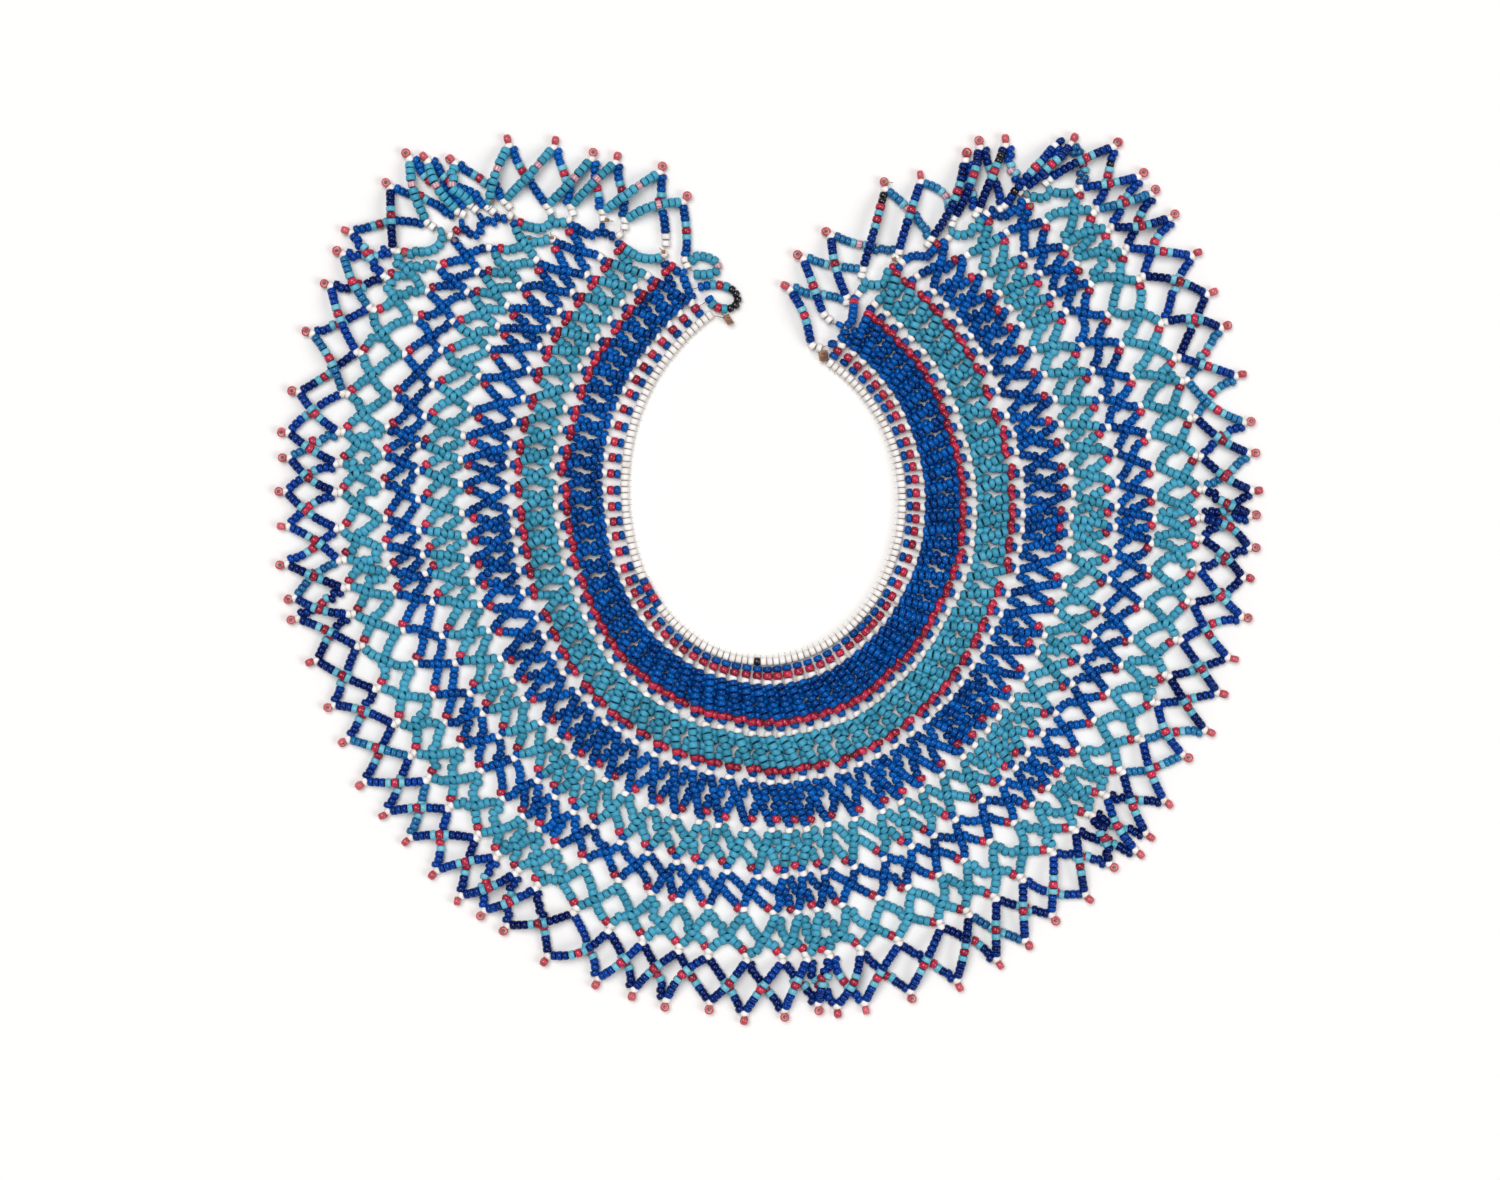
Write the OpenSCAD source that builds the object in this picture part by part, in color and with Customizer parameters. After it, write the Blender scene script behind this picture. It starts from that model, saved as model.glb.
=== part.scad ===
// Netted bead collar, laid flat and open, with its neck hollow at the middle.
// All lengths are in millimetres. +Z is up and the beads rest on z = 0. The collar runs
// clockwise, seen from above, from its right arm round the hollow to its left arm.
// Every place on it is given by a stem number, counted along the neck, and a depth,
// measured outwards from the string of beads at the neck.

/* [Beads] */
// Width of a net bead, across its hole
bead_w = 3.2; // [2.8:0.1:3.4]
// Width of the beads strung along the neck
neck_bead_w = 2.9; // [2.4:0.1:3.2]
// Thickness of the first blue row, where the strands lie two deep
double_h = 6.2; // [5:0.1:7]
// Thickness of the first turquoise row, where they overlap in places
close_h = 5; // [4:0.1:6.2]
// Clear space between one row and the next
row_gap = 0.3; // [0.1:0.1:0.6]

/* [Depth of each row] */
// From the middle of the neck string to the end of the short stems
stem_row_depth = 7.4; // [6.6:0.1:9]
// First blue row
blue_1_depth = 17.8; // [14:0.1:20]
// First turquoise row
turquoise_1_depth = 16.5; // [14:0.1:20]
// Second blue row
blue_2_depth = 17.5; // [14:0.1:20]
// Second turquoise row
turquoise_2_depth = 15.8; // [13:0.1:19]
// Third blue row
blue_3_depth = 12.2; // [10:0.1:15]
// Third turquoise row, with its pairs of white beads
turquoise_3_depth = 18.2; // [16:0.1:20]
// Fringe, from the white pairs to the red tips
fringe_depth = 19.1; // [18:0.1:22]

/* [Picots] */
// Length of a picot, a white bead and a red one
picot_l = 6; // [5:0.1:7]
// How far the notches between end picots are cut in behind them
end_notch = 4; // [2:0.1:5]

/* [Fastening] */
// Width of the beads on the two loops
loop_bead_w = 2.9; // [2.4:0.1:3]
// Width of a knot of thread
knot_w = 4; // [3.6:0.1:4.6]

/* [Hidden] */

// Bends of the neck string, from the right arm to the left one.
// Columns: radius, turn in degrees, stems along it, scale of the depth at its start
BENDS = [
    [58, 53.6, 12.8, 1],
    [66, 34.3, 8.9, 1],
    [50, 40.9, 9.9, 1.01],
    [43, 54.8, 11.8, 1.02],
    [54, 37.4, 8.4, 0.98],
    [84, 31.1, 8.4, 0.97],
    [72.5, 45.5, 10.9, 0.96],
    [72.5, 0, 1, 0.98]
];
neck_start = [20.2, 78.4];
neck_start_normal = 59.5;
first_stem_lead = 0.7;

// The neck string, from one stem number to the other, and the rings it is swept through
string_first = -0.1;
string_last = 69.6;
string_rings = 58;

// Rows from the neck outwards: depth, thickness, and the first and last stem numbers
// that each row's outer edge reaches
row_depths = [stem_row_depth, blue_1_depth, turquoise_1_depth, blue_2_depth,
    turquoise_2_depth, blue_3_depth, turquoise_3_depth];
row_tops = [bead_w, double_h, close_h, bead_w, bead_w, bead_w, bead_w];
row_firsts = [-0.3, -0.6, 0.1, 1, 1.9, 2.5, 2.8];
row_lasts = [69.5, 70.2, 68.8, 67.5, 66, 64.8, 62.4];
first_depth = neck_bead_w / 2 + row_gap;
row_outer = [for (i = 0, d = row_depths[0]; i < len(row_depths);
    i = i + 1, d = d + (i < len(row_depths) ? row_depths[i] : 0)) d];
net_edge = row_outer[len(row_outer) - 1];

// Strands of the last row and the fringe, which cross half-way between two stems
strand_half = bead_w / 2;
fork_half = strand_half / sin(45);
row_cross_inside = 11.6;
fringe_cross_outside = 6.8;
pair_l = 4.4;
tip_depth = net_edge + fringe_depth;
picot_base = tip_depth - picot_l;
fringe_first = 3;
fringe_last = 62;

// Depths at which the two end fringes begin, and their clearance along the rows
right_end_from = 5;
left_end_from = 22;
end_gap = 3 * row_gap;

// Picots of the two end edges, in clockwise order: the right arm's run outwards from the
// neck, and the left arm's run back to it.
// Columns: x and y of the red bead, direction in degrees
RIGHT_PICOTS = [
    [7.4, 102.4, 116], [11.9, 113.2, 140], [21.7, 121.3, 127], [41.7, 138.4, 125],
    [53.9, 140.5, 105], [72.6, 151, 115], [84, 153.8, 115], [108.2, 154.2, 80]
];
LEFT_PICOTS = [
    [-143.9, 123, 150], [-132.3, 138.4, 135], [-122.5, 148.4, 120], [-109.6, 146.5, 100],
    [-90, 153.5, 95], [-73.9, 152.4, 80], [-56, 148.5, 75], [-36.1, 144, 80],
    [-27.7, 133.9, 35]
];

// Routes of the two loops at the left arm, seen from above
UPPER_LOOP = [[-27, 111.4], [-24.4, 112.8], [-21, 113], [-18, 111.8], [-16.4, 109.8],
    [-17, 107.8], [-19.4, 106.8], [-22.2, 106.5], [-24.8, 106.8]];
LOWER_LOOP = [[-23.6, 102.1], [-21, 102.7], [-17.8, 103.1], [-14.2, 102.7], [-11, 101.2],
    [-9.3, 98.8], [-9.7, 96.3], [-11.6, 94.8], [-14.6, 94.6], [-17.4, 95.2], [-19.2, 97],
    [-19.8, 99.1]];
left_knot_at = [-12.8, 90.9];

// Bends worked out along the string: where each starts, its normal, its first stem
function out_dir(a) = [cos(a), sin(a)];
function along_dir(a) = [sin(a), -cos(a)];
function bend_end(s, b) =
    let (middle = s[0] - b[0] * out_dir(s[1]), a = s[1] - b[1])
    [middle + b[0] * out_dir(a), a, s[2] + b[2]];
bend_starts = [for (i = 0, s = [neck_start, neck_start_normal, 0]; i < len(BENDS);
    s = bend_end(s, BENDS[i]), i = i + 1) s];

// The bend that a stem stands on
function bend_at(u, i = 0) =
    i + 1 < len(BENDS) - 1 && u >= bend_starts[i + 1][2] ? bend_at(u, i + 1) : i;

// Point at a stem number and a depth, moved sideways along the row by side
function at(stem, depth, side = 0) =
    let (u = stem + first_stem_lead, i = bend_at(u), b = BENDS[i], s = bend_starts[i],
        t = (u - s[2]) / b[2], a = s[1] - b[1] * t,
        middle = s[0] - b[0] * out_dir(s[1]),
        scale = b[3] + (BENDS[i + 1][3] - b[3]) * t)
    middle + (b[0] + depth * scale) * out_dir(a) + side * along_dir(a);

function backwards(list) = [for (i = [len(list) - 1:-1:0]) list[i]];

// Points along a row's edge, one at each stem and one at each end
function edge(depth, first, last_stem) = concat(
    [at(first, depth)],
    [for (k = [floor(first) + 1:ceil(last_stem) - 1]) at(k, depth)],
    [at(last_stem, depth)]);

// Inner edge of row i: it starts just outside the row before
function inner_depth(i) = i == 0 ? first_depth : row_outer[i - 1] + row_gap;
function inner_edge(i) = i == 0
    ? edge(first_depth, row_firsts[0], row_lasts[0])
    : edge(inner_depth(i), row_firsts[i - 1], row_lasts[i - 1]);
function outer_edge(i) = edge(row_outer[i], row_firsts[i], row_lasts[i]);
module row(i) {
    linear_extrude(row_tops[i]) polygon(concat(inner_edge(i), backwards(outer_edge(i))));
}

// Outer edge of the last row: a white pair at each stem, and a notch between
// two stems that reaches in to where their strands cross
row_cross_depth = net_edge - row_cross_inside;
function pair_points(k) = [at(k, net_edge - pair_l, -strand_half), at(k, net_edge, -strand_half),
    at(k, net_edge, strand_half), at(k, net_edge - pair_l, strand_half)];
last_row_edge = concat(
    [for (k = [fringe_first:fringe_last]) for (p = concat(pair_points(k),
        k < fringe_last ? [at(k + 0.5, row_cross_depth + fork_half)] : [])) p]);

// The fringe: a strand leaves each pair to either side, crosses its neighbour's
// half-way to the next stem, and ends at the picot of that stem
cross_depth = net_edge + fringe_cross_outside;
function fringe_inner(k) = concat(
    [at(k, net_edge + row_gap, -strand_half), at(k, net_edge + row_gap, strand_half)],
    k < fringe_last ? [at(k + 0.5, cross_depth - fork_half)] : []);
function fringe_outer(k) = concat(
    [at(k, picot_base, -strand_half), at(k, tip_depth, -strand_half / 2),
        at(k, tip_depth, strand_half / 2), at(k, picot_base, strand_half)],
    k < fringe_last ? [at(k + 0.5, cross_depth + fork_half)] : []);
function fringe_gap(k) =
    let (half = norm(at(k + 0.5, cross_depth) - at(k - 0.5, cross_depth)) / 2 - fork_half)
    [at(k, net_edge + row_gap + fork_half), at(k, cross_depth, half),
        at(k, picot_base - fork_half), at(k, cross_depth, -half)];

// A fringe along one end edge: a plain side set against the ends of the rows,
// and a side with one tooth for each picot
function tooth(p) =
    let (d = out_dir(p[2]), s = [d[1], -d[0]], tip = [p[0], p[1]] + strand_half * d,
        base = tip - picot_l * d)
    [base - strand_half * s, tip - strand_half / 2 * s, tip + strand_half / 2 * s,
        base + strand_half * s];
function notch(p, q) =
    let (d = out_dir(p[2]) + out_dir(q[2]), inwards = d / norm(d))
    [p[0] + q[0], p[1] + q[1]] / 2 - (picot_l + end_notch) * inwards;
function teeth(picots) = [for (i = [0:len(picots) - 1]) for (p = concat(tooth(picots[i]),
    i + 1 < len(picots) ? [notch(picots[i], picots[i + 1])] : [])) p];
function end_side(stems, side, from) = concat(
    [at(stems[1], from, side)],
    [for (i = [0:len(row_outer) - 1]) if (row_outer[i] > from) at(stems[i], row_outer[i], side)]);

// The smallest box round the collar, used to set its middle over the origin
outline = concat(last_row_edge, teeth(RIGHT_PICOTS), teeth(LEFT_PICOTS),
    [for (k = [fringe_first:fringe_last]) for (p = fringe_outer(k)) p]);
xs = [for (p = outline) p[0]];
ys = [for (p = outline) p[1]];
box_middle = [(min(xs) + max(xs)) / 2, (min(ys) + max(ys)) / 2, 0];

// A round strand swept along a flat route at the height of its own radius
sides = 10;
function route_dir(route, i) =
    let (d = route[min(i + 1, len(route) - 1)] - route[max(i - 1, 0)]) d / norm(d);
function ring(route, i, r) =
    let (d = route_dir(route, i), s = [d[1], -d[0]], middle_z = r * cos(180 / sides))
    [for (j = [0:sides - 1]) let (a = 360 * j / sides, w = r * cos(a))
        [route[i][0] + w * s[0], route[i][1] + w * s[1], middle_z + r * sin(a)]];
module strand(route, r) {
    rings = len(route);
    polyhedron(
        points = [for (i = [0:rings - 1]) each ring(route, i, r)],
        faces = concat(
            [[for (j = [sides - 1:-1:0]) j]],
            [for (i = [0:rings - 2]) for (j = [0:sides - 1]) let (n = (j + 1) % sides)
                [i * sides + n, (i + 1) * sides + n, (i + 1) * sides + j, i * sides + j]],
            [[for (j = [0:sides - 1]) (rings - 1) * sides + j]]));
}

module neck_string() {
    route = [for (i = [0:string_rings - 1])
        at(string_first + (string_last - string_first) * i / (string_rings - 1), 0)];
    color("ivory") strand(route, neck_bead_w / 2);
}
module stem_row() {
    color("crimson") row(0);
}
module blue_row_1() {
    color("mediumblue") row(1);
}
module turquoise_row_1() {
    color("darkturquoise") row(2);
}
module blue_row_2() {
    color("mediumblue") row(3);
}
module turquoise_row_2() {
    color("darkturquoise") row(4);
}
module blue_row_3() {
    color("mediumblue") row(5);
}
module turquoise_row_3() {
    color("darkturquoise") linear_extrude(row_tops[6])
        polygon(concat(inner_edge(6), backwards(last_row_edge)));
}
module outer_fringe() {
    stems = [for (k = [fringe_first:fringe_last]) k];
    color("navy") linear_extrude(bead_w) difference() {
        polygon(concat([for (k = stems) each fringe_inner(k)],
            backwards([for (k = stems) each fringe_outer(k)])));
        for (k = [fringe_first + 1:fringe_last - 1]) polygon(fringe_gap(k));
    }
}
module right_end_fringe() {
    color("navy") linear_extrude(bead_w)
        polygon(concat(end_side(row_firsts, -end_gap, right_end_from),
            backwards(teeth(RIGHT_PICOTS))));
}
module left_end_fringe() {
    color("navy") linear_extrude(bead_w)
        polygon(concat(end_side(row_lasts, end_gap, left_end_from), teeth(LEFT_PICOTS)));
}
module upper_loop() {
    color("darkturquoise") strand(UPPER_LOOP, loop_bead_w / 2);
}
module lower_loop() {
    color("black") strand(LOWER_LOOP, loop_bead_w / 2);
}
module knot(place) {
    translate([place[0], place[1], knot_w / 2]) sphere(d = knot_w, $fn = 32);
}
module left_knot() {
    color("sienna") knot(left_knot_at);
}
module right_knot() {
    color("sienna") knot(at(string_first, 0, -knot_w / 2 - row_gap));
}

module placed() {
    translate(-box_middle) children();
}
placed() neck_string();
placed() stem_row();
placed() blue_row_1();
placed() turquoise_row_1();
placed() blue_row_2();
placed() turquoise_row_2();
placed() blue_row_3();
placed() turquoise_row_3();
placed() outer_fringe();
placed() right_end_fringe();
placed() left_end_fringe();
placed() upper_loop();
placed() lower_loop();
placed() left_knot();
placed() right_knot();
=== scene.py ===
import math
import bmesh
import bpy
import numpy as np
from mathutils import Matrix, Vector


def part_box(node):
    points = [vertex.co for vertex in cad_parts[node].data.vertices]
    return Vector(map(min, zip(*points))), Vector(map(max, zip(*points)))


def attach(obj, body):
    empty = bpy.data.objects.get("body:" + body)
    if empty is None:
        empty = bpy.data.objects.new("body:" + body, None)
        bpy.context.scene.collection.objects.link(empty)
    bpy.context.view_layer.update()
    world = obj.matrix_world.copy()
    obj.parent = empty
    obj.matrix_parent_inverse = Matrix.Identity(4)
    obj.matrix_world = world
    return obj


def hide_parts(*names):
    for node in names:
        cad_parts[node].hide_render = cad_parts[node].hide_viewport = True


# Netted bead collar, laid flat. Beads are strung where the net's pattern puts them, then
# settled against each other by a small thread-and-contact simulation.
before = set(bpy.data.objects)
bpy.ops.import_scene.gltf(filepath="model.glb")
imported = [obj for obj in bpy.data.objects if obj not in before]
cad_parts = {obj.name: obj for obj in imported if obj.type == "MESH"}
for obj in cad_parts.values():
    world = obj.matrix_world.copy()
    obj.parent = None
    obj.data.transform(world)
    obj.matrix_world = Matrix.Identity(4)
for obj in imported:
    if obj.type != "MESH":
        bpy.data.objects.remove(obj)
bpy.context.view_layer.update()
bpy.ops.object.select_all(action="DESELECT")
random = np.random.default_rng(11)
mm = 0.001

# Where the collar lies, in millimetres: its neck edge is a chain of bends
collar = {
    "neckStart": (20.2, 78.4),
    "neckStartNormal": 59.5,
    "firstStemLead": 0.7,   # stems between the start and the first one
    "boxMiddle": (1.73, 0.57),
    # radius, turn in degrees, stems along it, scale of the depth at its start
    "bends": [
        (58, 53.6, 12.8, 1), (66, 34.3, 8.9, 1), (50, 40.9, 9.9, 1.01), (43, 54.8, 11.8, 1.02),
        (54, 37.4, 8.4, 0.98), (84, 31.1, 8.4, 0.97), (72.5, 45.5, 10.9, 0.96), (72.5, 0, 1, 0.98)],
    # how unevenly it was laid down. A wave is its size, its turn per stem, where it starts, and
    # its turn per millimetre of depth; stems waver more the further out they are
    "stemWaves": [(0.16, 0.62, 0.7, 0), (0.1, 1.31, 2, 0.01)],
    "stemWaveAtNeck": 0.4,
    "stemWaveGrowth": 90,
    "rowWaves": [(0.5, 0.45, 0, 0.02), (0.25, 1.1, 1, 0)],
    "rowWavesFull": 15,     # the depth from which rows waver fully
}

# Seed beads by letter: length along the hole and width across it
beadKinds = {
    "b": {"length": 2.05, "width": 3.35},   # royal blue
    "n": {"length": 2.1, "width": 3.3},     # navy
    "t": {"length": 2.3, "width": 3.5},     # turquoise
    "r": {"length": 2.35, "width": 3.4},    # white-heart red
    "w": {"length": 2.2, "width": 3.1},     # chalk white
    "k": {"length": 2.1, "width": 3.0},     # black
    "p": {"length": 2.2, "width": 3.1},     # pale pink
    "c": {"length": 2.15, "width": 3.3},    # pale turquoise
    "s": {"length": 2.1, "width": 3.3},     # petrol blue
    "q": {"length": 2.3, "width": 3.3},     # the red of a picot
}


# The layout: a point at a stem number and a depth
def direction(angle):
    return np.array([math.cos(math.radians(angle)), math.sin(math.radians(angle))])


def bendStarts():
    place, normal, stem, starts = np.array(collar["neckStart"]), collar["neckStartNormal"], 0, []
    for radius, turn, stems, _ in collar["bends"]:
        starts.append((place, normal, stem))
        middle = place - radius * direction(normal)
        place, normal, stem = middle + radius * direction(normal - turn), normal - turn, stem + stems
    return starts


starts = bendStarts()


def at(stem, depth):
    along = stem + collar["firstStemLead"]
    i = 0
    while i + 2 < len(starts) and along >= starts[i + 1][2]:
        i += 1
    radius, turn, stems, scale = collar["bends"][i]
    t = (along - starts[i][2]) / stems
    normal = starts[i][1] - turn * t
    middle = starts[i][0] - radius * direction(starts[i][1])
    scale += (collar["bends"][i + 1][3] - scale) * t
    return middle + (radius + depth * scale) * direction(normal) - collar["boxMiddle"]


def wavering(waves, stem, depth):
    return sum(size * math.sin(stem * perStem + start + depth * perDepth)
               for size, perStem, start, perDepth in waves)


def lain(stem, depth):
    # the net as it happened to be laid down: its stems waver and its rows are not quite even
    sway = wavering(collar["stemWaves"], stem, depth)
    reach = wavering(collar["rowWaves"], stem, depth)
    return at(stem + sway * (collar["stemWaveAtNeck"] + depth / collar["stemWaveGrowth"]),
              depth + reach * min(1, depth / collar["rowWavesFull"]))


def walked(line):
    return np.concatenate([[0], np.cumsum(np.linalg.norm(np.diff(line, axis=0), axis=1))])


def spread(line, number):
    # places at equal steps along a line
    along = walked(line)
    steps = along[-1] * (np.arange(number) + 0.5) / number
    return np.stack([np.interp(steps, along, line[:, axis]) for axis in (0, 1)], axis=1)


# Stringing: each bead gets a place, and each pair of beads in a row on a thread a link
beads = {"place": [], "letter": [], "node": [], "hold": [], "layer": [], "shade": []}
links = []
low = 1.6           # height of a bead on the floor

# How well beads hold their laid-out place while the net settles
holds = {"neckString": 0.3, "neckStem": 0.15, "stem": 0.1, "lead": 0.05, "strand": 0.02,
         "fringeEnd": 0.16, "picot": 0.04, "endPair": 0.12, "endPicot": 0.1, "leg": 0.01, "loop": 0.15}


def bead(place, height, letter, node, hold, layer=0, shade=0):
    # layer 1 lies under, layer 2 lies on top, 0 lies wherever it comes to rest
    values = {"place": (place[0], place[1], height), "letter": letter, "node": node, "hold": hold,
              "layer": layer, "shade": shade}
    for key, value in values.items():
        beads[key].append(value)
    return len(beads["place"]) - 1


def thread(ids):
    links.extend(zip(ids[:-1], ids[1:]))


def strandLength(letters):
    return sum(beadKinds[letter]["length"] for letter in letters)


# A strand may be this much too short for its span, and beads are added until it isn't. Its beads
# share a shade.
stringing = {"tooShort": 0.7, "mostBeads": 12, "shadeSpread": 0.7}


def string(start, end, letters, height, node, hold=holds["strand"], layer=0, arch=0, bow=0.0,
           spare=0.0, bulge=0.0):
    # beads from one bead to another, aside from the straight line by a bulge and a random bow
    p, q = (np.array(beads["place"][i][:2]) for i in (start, end))
    ends = beadKinds[beads["letter"][start]]["length"] + beadKinds[beads["letter"][end]]["length"]
    span = np.linalg.norm(q - p)
    needed = span + spare - stringing["tooShort"]
    while strandLength(letters) + ends / 2 < needed and len(letters) < stringing["mostBeads"]:
        letters = letters[0] + letters
    ids = [start]
    shade = random.normal(0, stringing["shadeSpread"])
    aside = np.array([p[1] - q[1], q[0] - p[0]]) / max(span, 0.1) * random.normal(bulge, bow)
    for i, letter in enumerate(letters):
        t = (i + 1) / (len(letters) + 1)
        swell = math.sin(math.pi * t)
        spot = p + (q - p) * t + aside * swell
        ids.append(bead(spot, height + arch * swell, letter, node, hold, layer, shade))
    thread(ids + [end])


# Short stems between the neck string and the first row
neckStems = {"count": 70, "letters": "brw", "depths": (1.7, 4.0, 6.2), "rise": 0.2}
stems = {}
for k in range(neckStems["count"]):
    ids = [bead(lain(k, depth), low + neckStems["rise"] * i, letter, "stem_row", holds["neckStem"])
           for i, (depth, letter) in enumerate(zip(neckStems["depths"], neckStems["letters"]))]
    thread(ids)
    stems[k] = ids[-1]

# The rows of the net, from the neck outwards. Between two rows of stems each stem sends one
# strand straight over the others and one bent under them, and they share a crossing bead.
# slope -1: the straight strand runs back towards the first stem, 1: on towards the last.
# top and middle are the heights of straight strands and crossing beads, firm is how well these
# hold their place, and bow is how far a strand strays. closingSpare lengthens the strands at the
# arms' ends, and edge closes the row towards the other arm, with a bulge.
rows = [
    {"node": "blue_row_1", "first": -1, "last": 69, "depth": 24.3, "twist": 0.15, "slope": -1,
     "straightIn": "bbb", "bentIn": "bbb", "straightOut": "bbr", "bentOut": "bbr",
     "stem": "bw", "top": 4.65, "middle": 4.65, "firm": 0.2, "bow": 0.1,
     "closingSpare": 2.4, "edge": "bbbbbbr", "edgeBulge": -2.3},
    {"node": "turquoise_row_1", "first": 0, "last": 68, "depth": 41.2, "twist": 0.15, "slope": -1,
     "straightIn": "tt", "bentIn": "tt", "straightOut": "ttr", "bentOut": "ttr",
     "stem": "bw", "top": 4.6, "middle": 4.6, "firm": 0.16, "bow": 0.15,
     "closingSpare": 0.8},
    {"node": "blue_row_2", "first": 1, "last": 67, "depth": 58.3, "twist": 0.28, "slope": -1,
     "straightIn": "bb", "bentIn": "bb", "straightOut": "bbb", "bentOut": "br",
     "stem": "bw", "top": 2.6, "middle": 3.0, "firm": 0.04, "bow": 0.4,
     "closingSpare": 1.0},
    {"node": "turquoise_row_2", "first": 2, "last": 66, "depth": 74.0, "twist": -0.24, "slope": 1,
     "straightIn": "tt", "bentIn": "ttt", "straightOut": "tt", "bentOut": "ttr",
     "stem": "bw", "top": 2.3, "middle": 2.7, "firm": 0.02, "bow": 0.6,
     "closingSpare": 1.2},
    {"node": "blue_row_3", "first": 3, "last": 65, "depth": 86.3, "twist": -0.69, "slope": 1,
     "straightIn": "bb", "bentIn": "bbb", "straightOut": "bb", "bentOut": "br",
     "stem": "w", "top": 2.2, "middle": 2.7, "firm": 0.02, "bow": 0.8,
     "closingSpare": 2.2, "loose": True},
    {"node": "turquoise_row_3", "first": 4, "last": 64, "depth": 104.0, "twist": -0.94, "slope": 1,
     "straightIn": "ttt", "bentIn": "tttt", "straightOut": "tt", "bentOut": "tr",
     "lead": "t", "stem": "ww", "top": 2.2, "middle": 2.7, "firm": 0.02, "bow": 0.9,
     "closingSpare": 1.4, "loose": True},
]
# What the rows share: how uneven their stems are, a stem's bead to bead distance, how far along
# its strand a lead bead is, and how often a strand of a loose row has a bead more
net = {"stemUneven": 0.06, "depthUneven": 0.3, "stemPitch": 2.2, "stemRise": 0.1,
       "leadShare": 0.13, "leadRise": 0.2, "straightExtra": 0.35, "bentExtra": 0.4}
edgeStrands = []
for row in rows:
    node = row["node"]
    inner, outer = stems, {}
    for k in range(row["first"], row["last"] + 1):
        stem = k + row["twist"] + random.normal(0, net["stemUneven"])
        depth = row["depth"] + random.normal(0, net["depthUneven"])
        ids = [bead(lain(stem, depth - net["stemPitch"] * (len(row["stem"]) - 1 - j)),
                    low + net["stemRise"], letter, node, holds["stem"])
               for j, letter in enumerate(row["stem"])]
        thread(ids)
        outer[k] = (ids[0], ids[-1])
    if "edge" in row:
        edgeStrands.append((inner[row["last"]], outer[row["last"]][0], row))
    if "lead" in row:
        leads = {}
        for k, start in inner.items():
            place = np.array(beads["place"][start][:2])
            ahead = lain(k + row["twist"], row["depth"]) - place
            leads[k] = bead(place + ahead * net["leadShare"], low + net["leadRise"], row["lead"],
                            node, holds["lead"])
            thread([start, leads[k]])
        inner = leads
    inside = (len(row["straightIn"]) + len(row["bentIn"])) / 2 + 1
    outside = (len(row["straightOut"]) + len(row["bentOut"])) / 2 + 1
    for k in range(row["first"] - 1, row["last"] + 1):
        # a row's first and last strands have no partner, and close it along the collar's end edge
        forward, back = (inner.get(k), outer.get(k + 1)), (inner.get(k + 1), outer.get(k))
        straight, bent = (forward, back) if row["slope"] > 0 else (back, forward)
        if None in straight and None in bent:
            continue
        near = np.mean([beads["place"][inner[j]][:2] for j in (k, k + 1) if j in inner], axis=0)
        far = np.mean([lain(j + row["twist"], row["depth"] - net["stemPitch"])
                       for j in (k, k + 1) if j in outer], axis=0)
        middle = near + (far - near) * inside / (inside + outside)
        crossing = bead(middle, row["middle"], row["straightIn"][0], node, row["firm"], 2)
        straightOut, bentOut = row["straightOut"], row["bentOut"]
        if "loose" in row:                    # the maker counted less strictly further out
            straightOut = straightOut[0] * (random.random() < net["straightExtra"]) + straightOut
            bentOut = bentOut[0] * (random.random() < net["bentExtra"]) + bentOut
        closing = None in straight or None in bent
        course = {"bow": row["bow"], "spare": row["closingSpare"] if closing else 0}
        for ends, inwards, outwards, height, hold, layer in (
                (straight, row["straightIn"], straightOut, row["top"], row["firm"], 2),
                (bent, row["bentIn"], bentOut, low, holds["strand"], 1)):
            if None not in ends:
                string(ends[0], crossing, inwards, height, node, hold, layer, **course)
                string(crossing, ends[1][0], outwards, height, node, hold, layer, **course)
    stems = {k: ids[1] for k, ids in outer.items()}

# Fringe: each pair of white beads sends a strand to the picots of both its neighbours. A picot is
# a white bead and a red one. Of two strands that cross, one lies flat and the other arches over.
fringe = {"leg": "nnncrcnnn", "petrolShare": 0.14, "tipDepth": 120.9, "picot": 1.9, "tipRise": 0.2,
          "bow": 1.25, "spare": 0.7, "arch": 3.1, "stemUneven": 0.11, "depthUneven": 1.0,
          "halfPair": 1.1, "cornerPicots": 5}
# The same chain runs on round both end edges, numbered on from the outer one. These are the
# places of their white pairs and red picots, outwards from the neck. Of a picot's two legs, the
# one nearer the neck is navy with a red bead, the other turquoise or petrol with a pink one, or
# at the right corner navy with a pink one.
rightEnd = {
    "node": "right_end_fringe", "side": -1,
    "pairs": [(16.1, 81.0), (20.3, 92.2), (28.7, 97.8), (33.9, 107.3), (46.2, 113.6), (57.7, 117.8),
              (65.5, 125.5), (74.2, 128.3), (82.9, 129.7), (89.6, 136.3), (98.7, 139.5)],
    "legs": {"nearNeck": "nncrcnnn", "away": "sscpcsss", "corner": "nncpcnnn"},
    "picots": [(7.4, 102.4), (11.9, 113.2), (21.7, 121.3), (41.7, 138.4), (54.3, 140.9),
               (70.4, 148.9), (74.9, 152.8), (84.0, 153.5), (102.9, 153.0), (107.8, 154.0)]}
leftEnd = {
    "node": "left_end_fringe", "side": 1,
    "pairs": [(-27.3, 110.8), (-34.6, 119.5), (-48.8, 124.8), (-56.7, 127.6), (-67.5, 129.3),
              (-75.6, 129.7), (-90.3, 131.8), (-96.0, 129.5), (-101.9, 130.7), (-106.4, 128.6),
              (-117.6, 124.4)],
    "legs": {"nearNeck": "bbcrcbbb", "away": "ttttpttt"},
    "picots": [(-27.7, 133.5), (-36.1, 144.0), (-51.8, 147.5), (-60.2, 148.9), (-73.5, 152.8),
               (-90.0, 153.5), (-109.6, 146.5), (-119.4, 147.5), (-125.3, 148.6), (-132.1, 138.3)]}
picots = {}
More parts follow.
